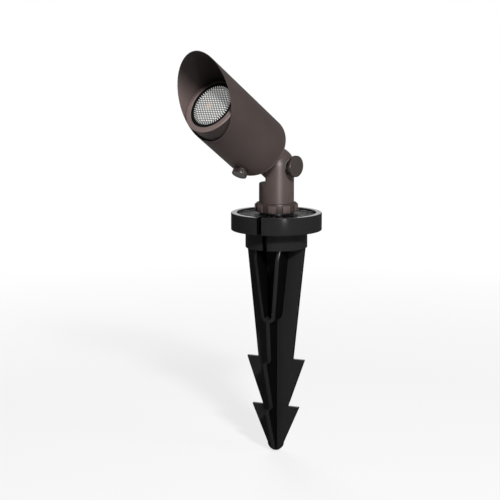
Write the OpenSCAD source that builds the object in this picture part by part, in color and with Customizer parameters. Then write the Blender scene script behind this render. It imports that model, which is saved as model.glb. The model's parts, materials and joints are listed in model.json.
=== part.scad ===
// Garden spike spotlight: a moulded ground spike, a half-lap knuckle and a tubular lamp head.
// The origin is on the spike's axis at the flange's underside, where the ground is.
// The front blade points along -Y.

/* [Flange] */
// Outer diameter of the flange that rests on the ground
flange_d = 91.5; // [84:0.5:110]
// Height of the flange
flange_h = 17.5; // [14:0.5:26]
// Thickness of the flange's rim wall
flange_wall = 6; // [3:0.5:9]
// Thickness of the flange's floor
flange_floor = 3.5; // [2:0.5:6]
// Number of ribs between hub and rim
rib_count = 22; // [12:2:30]
// Thickness of a rib
rib_t = 1.8; // [1.2:0.1:3]
// Drop from the rim's top to the ribs' tops
rib_drop = 1.3; // [0.5:0.1:4]
// Outer diameter of the hub that takes the stem
hub_d = 34; // [30:0.5:40]
// Length of the hub below the flange's underside
hub_drop = 8; // [4:0.5:10]

/* [Collar] */
// Outer diameter of the collar under the flange
collar_d = 62.5; // [62:0.5:72]
// Height of the collar
collar_h = 17.8; // [16:0.2:24]
// Thickness of the collar's wall
collar_wall = 4.5; // [3:0.5:6]
// Width of the two wire slots at the front
slot_w = 3.8; // [2:0.2:6]
// Depth of the wire window in the web, from the flange's underside
window_depth = 15; // [12:0.5:16]

/* [Blades] */
// Thickness of the four blades
blade_t = 4.4; // [3:0.2:6]
// Distance of a blade's edge inside the collar's outer face, at the collar
blade_inset = 0.25; // [0:0.05:2.5]
// Reach of a blade just above the upper barbs
blade_neck_r = 18.8; // [15:0.2:20]
// Reach of the upper barbs, as a share of the blade's reach at the collar
upper_barb_share = 1; // [0.8:0.01:1.08]
// Depth of the upper barbs' tops
upper_barb_depth = 132.5; // [115:0.5:145]
// Reach of a blade just above the lower barbs
blade_waist_r = 13.4; // [10:0.2:15]
// Reach of the lower barbs
lower_barb_r = 25.2; // [18:0.2:28]
// Depth of the lower barbs' tops
lower_barb_depth = 182.5; // [165:0.5:195]
// Height of the blunt end of a barb
barb_land = 1; // [0.5:0.1:2]
// Radius of the spike's rounded tip
tip_r = 8.4; // [5:0.2:10]
// Depth of the tip below the flange's underside
tip_depth = 230.5; // [212:0.5:260]

/* [Hairpin rib] */
// Thickness of the hairpin's wall
pin_wall = 4; // [3:0.2:5]
// Radius of the hairpin's bend, on its middle line
pin_bend_r = 5.9; // [5:0.1:7]
// Depth of the bend's centre
pin_depth = 85; // [70:1:100]
// Lean of each leg
pin_lean = 5.9; // [3:0.1:7]

/* [Lock ring] */
// Outer diameter of the lock ring
ring_d = 44; // [38:0.2:50]
// Height of the lock ring
ring_h = 8.7; // [6:0.1:12]
// Number of grip pads
pad_count = 9; // [6:1:12]
// Depth of the grooves between the pads
groove_depth = 1; // [0.5:0.1:1.6]
// Thickness of the washer under the lock ring
hub_washer_t = 1.3; // [0.8:0.1:2]

/* [Knuckle] */
// Diameter of the knuckle
knuckle_d = 35.2; // [30:0.2:40]
// Height from the lock ring's top to the tilt axis
knuckle_h = 37.9; // [32:0.1:46]
// Diameter of the threaded stem below the knuckle
stem_d = 20.6; // [18:0.2:22]
// Diameter of the wire passage through the stem
stem_bore_d = 11; // [8:0.5:13]
// Distance from the tilt axis to the head's back
head_standoff = 24.5; // [22:0.5:32]
// Rounding of the knuckle's shoulder
shoulder_r = 1.3; // [0.5:0.1:2]

/* [Aim] */
// Turn of the head about the spike, from the front blade
head_swivel = -18; // [-180:1:180]
// Rise of the head above the horizon
head_tilt = 34.2; // [0:0.2:180]
// Turn of the shroud about its own axis
shroud_roll = 3.1; // [-30:0.1:30]

/* [Shroud] */
// Wall of the shroud tube
tube_wall = 1.7; // [1.5:0.1:4]
// Distance from the tilt axis to the middle of the slanted mouth
mouth_dist = 129.8; // [122:0.2:150]
// Slope of the mouth, from square to the axis
mouth_slope = 44; // [20:0.1:46]
// Outer rounding of the shroud's back
back_r = 13; // [6:0.5:16]
// Thickness of the shroud's back wall
back_t = 3; // [2:0.1:5]
// Distance from the tilt axis to the barrel's lock screw
lock_dist = 46; // [42:0.5:52]

/* [Lamp barrel] */
// Gap between the barrel and the shroud tube
barrel_gap = 0.7; // [0.3:0.1:1.2]
// Wall of the barrel
barrel_wall = 2.2; // [1.8:0.1:2.6]
// Distance from the tilt axis to the barrel's back end
barrel_back = 36; // [35.5:0.5:39]
// Distance from the tilt axis to the lens ring's front
ring_front = 116; // [108:0.5:119]
// Width of the lens ring's face over the lens
lens_cover = 1.5; // [1.2:0.1:4]
// Thickness of the lens ring's face
lens_ring_face_t = 1.6; // [1:0.1:2.4]
// Length of the lens ring's threaded skirt
lens_skirt_l = 7.2; // [5:0.1:9]

/* [Lamp] */
// Thickness of the lens at its rim
lens_t = 3; // [2:0.1:4]
// Height of the lens's raised middle
lens_rise = 1.4; // [0.6:0.1:2]
// Diameter of the lamp, which sets the lens, the barrel and the shroud round it
lamp_d = 50; // [46:0.5:60]
// Height of the lamp's rim
lamp_rim_h = 5; // [3:0.1:8]
// Height of the lamp's finned body
lamp_body_h = 30; // [24:0.5:34]
// Diameter of the lamp's foot
lamp_foot_d = 22; // [18:0.5:28]
// Number of cooling fins
fin_count = 24; // [12:2:36]
// Width of the light-emitting square
chip_w = 9; // [5:0.5:14]
// Spacing of the lamp's two pins
pin_pitch = 5.33; // [5.3:0.01:5.4]

/* [Screws] */
// Diameter of the tilt screw's head
tilt_head_d = 21.4; // [16:0.2:24]
// Thickness of the tilt screw's head
tilt_head_t = 3.6; // [3:0.1:7]
// Diameter of the tilt screw's neck
tilt_neck_d = 12; // [9:0.5:14]
// Distance from the tilt axis's middle to the screw's outer face
tilt_face = 26; // [24:0.2:32]
// Diameter of the tilt screw's thread
tilt_thread_d = 6; // [5:0.5:7]
// Diameter of the barrel lock screw's head
lock_head_d = 15; // [12:0.5:18]
// Thickness of the barrel lock screw's head
lock_head_t = 4.5; // [3:0.1:6]
// Diameter of the barrel lock screw's thread
lock_thread_d = 5; // [4:0.5:6]

/* [Hidden] */
$fn = 96;

// Clearances and overruns
run_gap = 0.06;
swing_gap = 0.4;
lap_gap = 0.4;
seal_gap = 0.05;
over = 1;

// Spike
pin_inset = 0.4;
split_depth = pin_depth + pin_bend_r;
collar_in_r = collar_d / 2 - collar_wall;
blade_top_r = collar_d / 2 - blade_inset;
upper_barb_r = blade_top_r * upper_barb_share;
hub_r = hub_d / 2;

// Heights above the flange's underside
ring_z = flange_h + hub_washer_t;
knuckle_z = ring_z + ring_h;
pivot_z = knuckle_z + knuckle_h;
stem_inset = 2;
stem_end_z = stem_inset - hub_drop;

// Knuckle
knuckle_r = knuckle_d / 2;
stem_r = stem_d / 2;
lap_drop = knuckle_r + swing_gap;
spot_depth = 1.5;
spot_x = knuckle_r - spot_depth;
spot_margin = 2;
spot_r = tilt_neck_d / 2 + spot_margin;
tilt_washer_t = 1;
tilt_thread_r = tilt_thread_d / 2;
tilt_screw_end = 11;
screw_sleeve_t = 2;
chamber_w = 5.4;
chamber_in_r = tilt_thread_r + screw_sleeve_t;
chamber_out_r = chamber_in_r + chamber_w;
chamber_depth = 7.6;
riser_r = 3.3;
riser_x = 4.4;
riser_cap = 4;
riser_start = lap_drop + riser_cap;
oring_wire_d = 1.6;
oring_land = 1.9;
oring_free = 0.1;
oring_seat_r = chamber_out_r + oring_land;
oring_seat_depth = oring_wire_d - lap_gap + oring_free;

// Radii of the lens, the barrel and the shroud, from the lamp outwards
lamp_r = lamp_d / 2;
lens_margin = 1.3;
lens_r = lamp_r + lens_margin;
lens_opening_r = lens_r - lens_cover;
skirt_gap = 0.3;
skirt_wall = 1.4;
skirt_in_r = lens_r + skirt_gap;
skirt_out_r = skirt_in_r + skirt_wall;
skirt_seat_r = skirt_out_r + run_gap;
barrel_lip = 1.34;
barrel_r = skirt_seat_r + barrel_lip;
barrel_bore_r = barrel_r - barrel_wall;
ring_lip = 0.4;
lens_ring_r = barrel_r + ring_lip;
tube_bore_r = barrel_r + barrel_gap;
tube_r = tube_bore_r + tube_wall;

// Head, measured from the tilt axis along the aim
arm_gasket_t = 1.2;
arm_face = head_standoff - arm_gasket_t;
arm_neck_r = 9;
arm_nut_t = 4.5;
arm_nut_r = 13.5;
arm_nut_z = head_standoff + back_t;
arm_neck_tail = 1.5;
arm_neck_end = arm_nut_z + arm_nut_t + arm_neck_tail;
lock_boss_r = 5.6;
lock_boss_h = 0.4;
lock_seal_t = 1;
lock_thread_r = lock_thread_d / 2;

// Barrel and lens
barrel_back_t = 3;
ring_face_z = ring_front - lens_ring_face_t;
barrel_front = ring_face_z - seal_gap;
skirt_z = ring_face_z - lens_skirt_l;
gasket_t = 0.6;
gasket_lip = 2;
gasket_front = ring_face_z - seal_gap;
lens_z = gasket_front - gasket_t - lens_t;
oring_r = 1.1;
rear_oring_inset = 22;
front_oring_inset = 26;
oring_zs = [barrel_back + rear_oring_inset, barrel_front - front_oring_inset];

// Lamp, from the lens backwards
lamp_front = lens_z - gasket_t;
lamp_rim_z = lamp_front - lamp_rim_h;
lamp_rim_wall = 2.4;
board_t = 1.2;
board_z = lamp_rim_z + board_t;
chip_t = 0.7;
lamp_body_z = lamp_rim_z - lamp_body_h;
lamp_foot_r = lamp_foot_d / 2;
lamp_core_share = 0.72;
fin_t = 1.2;
holder_h = 10;
holder_w = 16;
holder_t = 11;
holder_z = lamp_body_z - holder_h;
pin_r = 0.75;
pin_l = 7.5;
bracket_t = 1.2;
bracket_w = 12;
bracket_reach = 15;
bracket_z = holder_z - bracket_t;
bracket_foot_z = barrel_back + barrel_back_t;
screw_r = 1.5;
screw_head_r = 2.4;
screw_head_t = 1.8;
screw_x = 5.4;
lead_r = 1.1;
lead_x = 1.6;
plug_hole_r = 6;
plug_lip = 1.5;
plug_end = 1.2;

// Lock ring and grommet
ring_chamfer = 1.2;
grommet_lip_t = 1.6;
grommet_l = 9;
grommet_hole_r = 3.2;

// Reach of a blade at a depth above the upper barbs
function blade_r(depth) = blade_top_r
    + (blade_neck_r - blade_top_r) * (depth - collar_h) / (upper_barb_depth - collar_h);
// Right half of the blades' outline as [reach, height], above and below the hairpin's bend
function upper_side() = [[collar_in_r, 0], [collar_in_r, -collar_h], [blade_top_r, -collar_h],
    [blade_r(split_depth), -split_depth]];
function lower_side() = concat(
    [[blade_r(split_depth), -split_depth],
    [blade_neck_r, -upper_barb_depth],
    [upper_barb_r, -upper_barb_depth],
    [upper_barb_r, -upper_barb_depth - barb_land],
    [blade_waist_r, -lower_barb_depth],
    [lower_barb_r, -lower_barb_depth],
    [lower_barb_r, -lower_barb_depth - barb_land]],
    [for (a = [0 : 15 : 90]) [tip_r * cos(a), tip_r - tip_depth - tip_r * sin(a)]]);
function mirrored(points) = [for (i = [len(points) - 1 : -1 : 0]) [-points[i][0], points[i][1]]];

// A symmetrical plate through the axis, in the XZ plane
module plate(side, depth) {
    rotate([90, 0, 0])
        linear_extrude(height = depth, center = true)
            polygon(concat(side, mirrored(side)));
}

// Outline of the hairpin at a radius about its bend, from the flange's underside down
function hairpin_side(r) = concat(
    [[(pin_depth * sin(pin_lean) + r) / cos(pin_lean), 0]],
    [for (i = [0 : 8]) let (a = -pin_lean - i * (90 - pin_lean) / 8)
        [r * cos(a), r * sin(a) - pin_depth]]);

// The space that the hairpin's legs may fill, so that their edges lie just inside the blades'
module blade_cone() {
    bend_end = split_depth + pin_wall;
    rotate_extrude()
        polygon([[0, 0], [collar_in_r, 0], [collar_in_r, -collar_h],
            [blade_top_r - pin_inset, -collar_h],
            [blade_r(bend_end) - pin_inset, -bend_end], [0, -bend_end]]);
}

module flange_drum() {
    rim_in_r = flange_d / 2 - flange_wall;
    rib_h = flange_h - rib_drop - flange_floor;
    difference() {
        cylinder(d = flange_d, h = flange_h);
        translate([0, 0, flange_floor])
            cylinder(r = rim_in_r, h = flange_h);
    }
    cylinder(r = hub_r, h = flange_h);
    for (i = [0 : rib_count - 1])
        rotate([0, 0, (i + 0.5) * 360 / rib_count])
            translate([hub_r - rib_t / 2, -rib_t / 2, flange_floor - rib_t / 2])
                cube([rim_in_r - hub_r + rib_t, rib_t, rib_h + rib_t / 2]);
}

// A slot for the wires through a wall at the front, from a height up
module wire_slot(d, wall, z, h) {
    translate([-slot_w / 2, -d / 2 - over, z])
        cube([slot_w, wall + 2 * over, h]);
}

module stem_hole() {
    translate([0, 0, -hub_drop - over])
        cylinder(r = stem_r + run_gap, h = hub_drop + flange_h + 2 * over);
}

// The moulded spike, in six nodes that meet face to face
module spike_flange() {
    color("#1c1c1e")
    difference() {
        flange_drum();
        translate([0, 0, -over])
            cylinder(d = collar_d, h = flange_floor + over);
        wire_slot(flange_d, flange_wall, flange_floor / 2, flange_h);
        stem_hole();
    }
}

module spike_hub() {
    color("#1c1c1e")
    difference() {
        union() {
            cylinder(d = collar_d, h = flange_floor);
            translate([0, 0, -hub_drop])
                cylinder(r = hub_r, h = hub_drop + flange_floor / 2);
        }
        stem_hole();
    }
}

module spike_collar() {
    color("#1c1c1e")
    translate([0, 0, -collar_h])
        difference() {
            cylinder(d = collar_d, h = collar_h);
            translate([0, 0, -over])
                cylinder(r = collar_in_r, h = collar_h + 2 * over);
            wire_slot(collar_d, collar_wall, -over, collar_h + 2 * over);
        }
}

module spike_web() {
    window_x = (pin_depth - window_depth) * tan(pin_lean) + (pin_bend_r - pin_wall / 2) / cos(pin_lean);
    color("#1c1c1e")
    difference() {
        plate(upper_side(), blade_t);
        translate([-window_x, -blade_t, -window_depth])
            cube([2 * window_x, 2 * blade_t, window_depth + over]);
        translate([0, 0, -hub_drop])
            cylinder(r = hub_r, h = hub_drop + over);
    }
}

module spike_hairpins() {
    color("#1c1c1e")
    difference() {
        intersection() {
            blade_cone();
            difference() {
                plate(hairpin_side(pin_bend_r + pin_wall / 2), collar_d);
                translate([0, 0, over])
                    plate(hairpin_side(pin_bend_r - pin_wall / 2), collar_d + over);
                translate([0, 0, -pin_depth / 2])
                    cube([pin_bend_r, collar_d + over, pin_depth], center = true);
            }
        }
        translate([-collar_d / 2, -blade_t / 2, -tip_depth])
            cube([collar_d, blade_t, tip_depth + over]);
        translate([-blade_t / 2, -collar_d / 2, -tip_depth])
            cube([blade_t, collar_d, tip_depth - split_depth]);
        translate([0, 0, -hub_drop])
            cylinder(r = hub_r, h = hub_drop + over);
    }
}

module spike_point() {
    color("#1c1c1e") {
        plate(lower_side(), blade_t);
        rotate([0, 0, 90])
            plate(lower_side(), blade_t);
    }
}

module hub_washer() {
    color("#101010")
    translate([0, 0, flange_h])
        difference() {
            cylinder(d = hub_d + 2 * hub_washer_t, h = hub_washer_t);
            translate([0, 0, -over])
                cylinder(r = stem_r + run_gap, h = hub_washer_t + 2 * over);
        }
}

module lock_ring() {
    r = ring_d / 2;
    bore_r = stem_r + run_gap;
    color("#4a3b38")
    translate([0, 0, ring_z])
        difference() {
            rotate_extrude()
                polygon([[bore_r, 0], [r - ring_chamfer / 2, 0], [r, ring_chamfer / 2],
                    [r, ring_h - ring_chamfer], [r - ring_chamfer, ring_h], [bore_r, ring_h]]);
            for (i = [0 : pad_count - 1])
                rotate([0, 0, i * 360 / pad_count])
                    translate([r - groove_depth, -r * sin(90 / pad_count), -over])
                        cube([ring_d, 2 * r * sin(90 / pad_count), ring_h + 2 * over]);
        }
}

// Frame of the tilt axis, with X along it towards the thumbscrew
module at_pivot() {
    translate([0, 0, pivot_z])
        rotate([0, 0, head_swivel])
            children();
}
// Frame of the head, with Z along its aim and Y towards its upper side
module at_head() {
    at_pivot()
        rotate([90 - head_tilt, 0, 0])
            children();
}
// Frame of the shroud, turned about the aim
module at_shroud() {
    at_head()
        rotate([0, 0, shroud_roll])
            children();
}
// Frame of the barrel lock screw, with Z outwards from the head's axis
module at_lock() {
    at_shroud()
        translate([0, 0, lock_dist])
            rotate([90, 0, 0])
                children();
}

// One half of the half-lap knuckle, as a post along -Z that ends in a ball at the tilt axis.
// Its ear is on the +X side, and the other side stops at a shelf.
module lap_post(length) {
    rotate([180, 0, 0]) {
        intersection() {
            union() {
                cylinder(r = knuckle_r, h = lap_drop + shoulder_r);
                sphere(r = knuckle_r);
            }
            translate([lap_gap / 2, -knuckle_d, -knuckle_d])
                cube([knuckle_d, 2 * knuckle_d, knuckle_d + lap_drop + shoulder_r]);
        }
        translate([0, 0, lap_drop])
            rotate_extrude()
                polygon(concat([[0, length - lap_drop], [0, 0]],
                    [for (a = [90 : -18 : 0]) [knuckle_r - shoulder_r + shoulder_r * cos(a),
                        shoulder_r - shoulder_r * sin(a)]],
                    [[knuckle_r, length - lap_drop]]));
    }
}

// The wire chamber round the screw in a lap face, and the riser that leads into it
module wire_way() {
    translate([lap_gap / 2 - over, 0, 0])
        rotate([0, 90, 0])
            difference() {
                cylinder(r = chamber_out_r, h = chamber_depth + over);
                translate([0, 0, -over])
                    cylinder(r = chamber_in_r, h = chamber_depth + 3 * over);
            }
    translate([riser_x, 0, -riser_start - over])
        cylinder(r = riser_r, h = riser_start + over - chamber_in_r);
}

module knuckle_base() {
    color("#54433f")
    difference() {
        union() {
            at_pivot()
                lap_post(knuckle_h);
            translate([0, 0, stem_end_z])
                cylinder(r = stem_r, h = knuckle_z + over - stem_end_z);
        }
        translate([0, 0, stem_end_z - over])
            cylinder(d = stem_bore_d, h = pivot_z - riser_start - stem_end_z + over);
        at_pivot() {
            wire_way();
            rotate([0, 90, 0])
                cylinder(r = tilt_thread_r + run_gap, h = knuckle_d);
            translate([spot_x, 0, 0])
                rotate([0, 90, 0])
                    cylinder(r = spot_r, h = knuckle_d);
            rotate([0, 90, 0])
                translate([0, 0, lap_gap / 2])
                    rotate_extrude()
                        translate([oring_seat_r - oring_wire_d / 2, -over])
                            square([oring_wire_d, oring_seat_depth + over]);
        }
    }
}

module stem_grommet() {
    color("#151515")
    difference() {
        union() {
            translate([0, 0, stem_end_z])
                cylinder(d = stem_bore_d - 2 * seal_gap, h = grommet_l);
            translate([0, 0, stem_end_z - grommet_lip_t])
                cylinder(r = stem_r - grommet_lip_t / 2, h = grommet_lip_t);
        }
        translate([0, 0, stem_end_z - grommet_lip_t - over])
            cylinder(r = grommet_hole_r, h = grommet_l + grommet_lip_t + 2 * over);
    }
}

module knuckle_oring() {
    color("#151515")
    at_pivot()
        rotate([0, 90, 0])
            translate([0, 0, lap_gap / 2 + oring_seat_depth - oring_wire_d / 2])
                rotate_extrude()
                    translate([oring_seat_r, 0])
                        circle(d = oring_wire_d, $fn = 24);
}

// A thumbscrew along +Z: a chamfered grip on a neck, and a thread that ends at a depth
module thumbscrew(head_d, head_t, face_z, neck_d, neck_z, thread_r, end_z) {
    bevel = head_t / 6;
    r = head_d / 2;
    back_z = face_z - head_t;
    rotate_extrude()
        polygon([[0, end_z], [thread_r - bevel, end_z], [thread_r, end_z + bevel],
            [thread_r, neck_z], [neck_d / 2, neck_z], [neck_d / 2, back_z],
            [r - bevel, back_z], [r, back_z + bevel], [r, face_z - bevel],
            [r - bevel, face_z], [0, face_z]]);
}

module tilt_thumbscrew() {
    color("#54433f")
    at_pivot()
        rotate([0, 90, 0])
            thumbscrew(tilt_head_d, tilt_head_t, tilt_face, tilt_neck_d,
                spot_x + tilt_washer_t, tilt_thread_r, -tilt_screw_end);
}

module thumbscrew_washer() {
    color("#c8c4bb")
    at_pivot()
        translate([spot_x, 0, 0])
            rotate([0, 90, 0])
                difference() {
                    cylinder(d = tilt_neck_d + tilt_washer_t, h = tilt_washer_t);
                    translate([0, 0, -over])
                        cylinder(r = tilt_thread_r + run_gap, h = tilt_washer_t + 2 * over);
                }
}

module knuckle_arm() {
    color("#54433f")
    at_head()
        rotate([180, 0, 0])
            mirror([1, 0, 0])
                difference() {
                    union() {
                        lap_post(arm_face);
                        translate([0, 0, -arm_neck_end])
                            cylinder(r = arm_neck_r, h = arm_neck_end - arm_face + over);
                    }
                    wire_way();
                    translate([0, 0, -arm_neck_end - over])
                        cylinder(d = stem_bore_d, h = arm_neck_end - riser_start + over);
                    rotate([0, 90, 0])
                        cylinder(r = tilt_thread_r + run_gap, h = tilt_screw_end + over);
                }
}

module arm_gasket() {
    color("#151515")
    at_head()
        translate([0, 0, arm_face])
            difference() {
                cylinder(r = knuckle_r - shoulder_r, h = arm_gasket_t);
                translate([0, 0, -over])
                    cylinder(r = arm_neck_r + seal_gap, h = arm_gasket_t + 2 * over);
            }
}

module arm_nut() {
    color("#b98f4e")
    at_head()
        translate([0, 0, arm_nut_z])
            difference() {
                cylinder(r = arm_nut_r, h = arm_nut_t, $fn = 6);
                translate([0, 0, -over])
                    cylinder(r = arm_neck_r + seal_gap, h = arm_nut_t + 2 * over);
            }
}

module shroud() {
    inner_r = back_r - back_t;
    corner_steps = 6;
    front = mouth_dist + tube_r * tan(mouth_slope) + over;
    outer = [for (i = [0 : corner_steps]) let (a = -90 + i * 90 / corner_steps)
        [tube_r - back_r + back_r * cos(a), head_standoff + back_r + back_r * sin(a)]];
    inner = [for (i = [0 : corner_steps]) let (a = -i * 90 / corner_steps)
        [tube_bore_r - inner_r + inner_r * cos(a),
            head_standoff + back_t + inner_r + inner_r * sin(a)]];
    color("#54433f")
    difference() {
        union() {
            at_shroud()
                rotate_extrude()
                    polygon(concat([[0, head_standoff]], outer, [[tube_r, front],
                        [tube_bore_r, front]], inner, [[0, head_standoff + back_t]]));
            at_lock()
                translate([0, 0, tube_bore_r + tube_wall / 3])
                    cylinder(r = lock_boss_r, h = lock_boss_h + 2 * tube_wall / 3);
        }
        at_shroud()
            translate([0, 0, mouth_dist])
                rotate([mouth_slope, 0, 0])
                    translate([-2 * tube_r, -4 * tube_r, 0])
                        cube([4 * tube_r, 8 * tube_r, 4 * tube_r]);
        at_head()
            cylinder(r = arm_neck_r + seal_gap, h = arm_nut_z + over);
        at_lock()
            cylinder(r = lock_thread_r + run_gap, h = 2 * tube_r);
    }
}

module barrel_lock_screw() {
    neck_z = tube_r + lock_boss_h;
    color("#54433f")
    at_lock()
        thumbscrew(lock_head_d, lock_head_t, neck_z + lock_seal_t + lock_head_t,
            lock_thread_d, neck_z, lock_thread_r, barrel_r + swing_gap);
}

module lock_screw_seal() {
    color("#151515")
    at_lock()
        translate([0, 0, tube_r + lock_boss_h])
            difference() {
                cylinder(r = lock_boss_r - lock_seal_t / 2, h = lock_seal_t);
                translate([0, 0, -over])
                    cylinder(r = lock_thread_r + run_gap, h = lock_seal_t + 2 * over);
            }
}

// A ring about the head's axis, from one distance to another
module head_ring(in_r, out_r, from, to) {
    at_head()
        translate([0, 0, from])
            difference() {
                cylinder(r = out_r, h = to - from);
                translate([0, 0, -over])
                    cylinder(r = in_r, h = to - from + 2 * over);
            }
}

module lamp_barrel() {
    groove_r = tube_bore_r - seal_gap - 2 * oring_r;
    color("#4a3b38")
    at_head()
        difference() {
            rotate_extrude()
                polygon([[plug_hole_r, barrel_back], [barrel_r, barrel_back],
                    [barrel_r, barrel_front], [skirt_seat_r, barrel_front],
                    [skirt_seat_r, skirt_z - seal_gap], [barrel_bore_r, skirt_z - seal_gap],
                    [barrel_bore_r, barrel_back + barrel_back_t],
                    [plug_hole_r, barrel_back + barrel_back_t]]);
            for (z = oring_zs)
                translate([0, 0, z])
                    rotate_extrude()
                        translate([groove_r, -oring_r])
                            square([barrel_r, 2 * oring_r]);
        }
}

module barrel_orings() {
    color("#151515")
    at_head()
        for (z = oring_zs)
            translate([0, 0, z])
                rotate_extrude()
                    translate([tube_bore_r - seal_gap - oring_r, 0])
                        circle(r = oring_r, $fn = 24);
}

module barrel_plug() {
    color("#151515")
    at_head()
        difference() {
            union() {
                translate([0, 0, barrel_back - plug_end])
                    cylinder(r = plug_hole_r - seal_gap,
                        h = barrel_back_t + plug_end + plug_lip);
                translate([0, 0, barrel_back + barrel_back_t])
                    cylinder(r = plug_hole_r + plug_lip, h = plug_lip);
            }
            for (side = [-1, 1])
                translate([side * lead_x, 0, barrel_back - plug_end - over])
                    cylinder(r = lead_r + seal_gap,
                        h = barrel_back_t + plug_end + plug_lip + 2 * over);
        }
}

module lens_ring() {
    lip = lens_ring_face_t / 3;
    color("#54433f")
    at_head()
        rotate_extrude()
            polygon([[lens_opening_r, ring_face_z], [skirt_in_r, ring_face_z],
                [skirt_in_r, skirt_z], [skirt_out_r, skirt_z], [skirt_out_r, ring_face_z],
                [lens_ring_r, ring_face_z], [lens_ring_r, ring_front - lip],
                [lens_ring_r - lip, ring_front], [lens_opening_r + lip, ring_front],
                [lens_opening_r, ring_front - lip]]);
}

module lens_gasket() {
    color("#101010") {
        head_ring(lens_opening_r - gasket_lip, lens_r, gasket_front - gasket_t, gasket_front);
        head_ring(lens_opening_r - gasket_lip, lens_r, lens_z - gasket_t, lens_z);
    }
}

module cover_lens() {
    color("#e8eef0")
    at_head()
        translate([0, 0, lens_z]) {
            cylinder(r = lens_r, h = lens_t);
            cylinder(r = lens_opening_r - gasket_lip - seal_gap,
                h = lens_t + gasket_t + seal_gap + lens_rise);
        }
}

module lamp_rim() {
    color("#18181a")
    head_ring(lamp_r - lamp_rim_wall, lamp_r, lamp_rim_z, lamp_front);
}

module lamp_body() {
    core_foot_r = lamp_foot_r * lamp_core_share;
    core_top_r = lamp_r * lamp_core_share;
    plate_t = lamp_rim_h / 2;
    color("#a9abad")
    at_head()
        translate([0, 0, lamp_body_z]) {
            cylinder(r1 = core_foot_r, r2 = core_top_r, h = lamp_body_h);
            translate([0, 0, lamp_body_h - plate_t])
                cylinder(r = lamp_r, h = plate_t);
            intersection() {
                cylinder(r1 = lamp_foot_r, r2 = lamp_r, h = lamp_body_h);
                for (i = [0 : fin_count / 2 - 1])
                    rotate([0, 0, i * 360 / fin_count])
                        translate([-lamp_r, -fin_t / 2, 0])
                            cube([lamp_d, fin_t, lamp_body_h]);
            }
        }
}

module led_board() {
    color("#f2efe6")
    at_head()
        translate([0, 0, lamp_rim_z])
            cylinder(r = lamp_r - lamp_rim_wall - seal_gap, h = board_t);
}

module led_chip() {
    color("#f5c84c")
    at_head()
        translate([-chip_w / 2, -chip_w / 2, board_z])
            cube([chip_w, chip_w, chip_t]);
}

module lamp_pins() {
    color("#c9b26a")
    at_head()
        for (side = [-1, 1])
            translate([side * pin_pitch / 2, 0, lamp_body_z - pin_l])
                cylinder(r = pin_r, h = pin_l, $fn = 32);
}

module lamp_holder() {
    color("#ece7dc")
    at_head()
        difference() {
            translate([-holder_w / 2, -holder_t / 2, holder_z])
                cube([holder_w, holder_t, holder_h]);
            for (side = [-1, 1]) {
                translate([side * pin_pitch / 2, 0, lamp_body_z - pin_l - seal_gap])
                    cylinder(r = pin_r + seal_gap, h = pin_l + over, $fn = 32);
                translate([side * screw_x, 0, holder_z - over])
                    cylinder(r = screw_r + seal_gap, h = holder_h / 2 + over, $fn = 32);
            }
        }
}

module holder_bracket() {
    leg_h = bracket_z - bracket_foot_z;
    color("#b9bcbe")
    at_head()
        difference() {
            union() {
                translate([-bracket_reach, -bracket_w / 2, bracket_z])
                    cube([2 * bracket_reach, bracket_w, bracket_t]);
                for (side = [-1, 1])
                    translate([side * (bracket_reach - bracket_t / 2) - bracket_t / 2,
                        -bracket_w / 2, bracket_foot_z])
                        cube([bracket_t, bracket_w, leg_h + bracket_t / 2]);
            }
            for (side = [-1, 1]) {
                translate([side * screw_x, 0, bracket_z - over])
                    cylinder(r = screw_r + seal_gap, h = bracket_t + 2 * over, $fn = 32);
                translate([side * lead_x, 0, bracket_z - over])
                    cylinder(r = lead_r + seal_gap, h = bracket_t + 2 * over, $fn = 32);
            }
        }
}

module holder_screws() {
    color("#c4c6c8")
    at_head()
        for (side = [-1, 1])
            translate([side * screw_x, 0, 0]) {
                translate([0, 0, bracket_z - screw_head_t])
                    cylinder(r = screw_head_r, h = screw_head_t, $fn = 32);
                translate([0, 0, bracket_z - screw_head_t / 2])
                    cylinder(r = screw_r, h = bracket_t + screw_head_t / 2 + holder_h / 2 - over,
                        $fn = 32);
            }
}

module lead_wires() {
    color("#f4f4f0")
    at_head()
        for (side = [-1, 1])
            translate([side * lead_x, 0, barrel_back - plug_end])
                cylinder(r = lead_r, h = holder_z - barrel_back + plug_end, $fn = 32);
}

spike_flange();
spike_hub();
spike_collar();
spike_web();
spike_hairpins();
spike_point();
hub_washer();
lock_ring();
knuckle_base();
stem_grommet();
knuckle_oring();
tilt_thumbscrew();
thumbscrew_washer();
knuckle_arm();
arm_gasket();
arm_nut();
shroud();
barrel_lock_screw();
lock_screw_seal();
lamp_barrel();
barrel_orings();
barrel_plug();
lens_ring();
lens_gasket();
cover_lens();
lamp_rim();
lamp_body();
led_board();
led_chip();
lamp_pins();
lamp_holder();
holder_bracket();
holder_screws();
lead_wires();
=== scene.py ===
# %% [markdown]
# # A garden spike spotlight, dressed round its CAD frame
#
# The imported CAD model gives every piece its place, its size and the body that it moves with. This lesson
# makes the looks: a dark bronze powder coat on the head and the knuckle, a glossy black moulded spike,
# and a lens with a grid of small pillows.
#
# The frame comes first, because every later size is read from it. Its box is kept now, so that the
# dressed model can be compared with it at the end.

# %% Load the frame
import json
import math
from math import cos, pi, radians, sin
import bmesh
import bpy
from mathutils import Matrix, Vector


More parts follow.
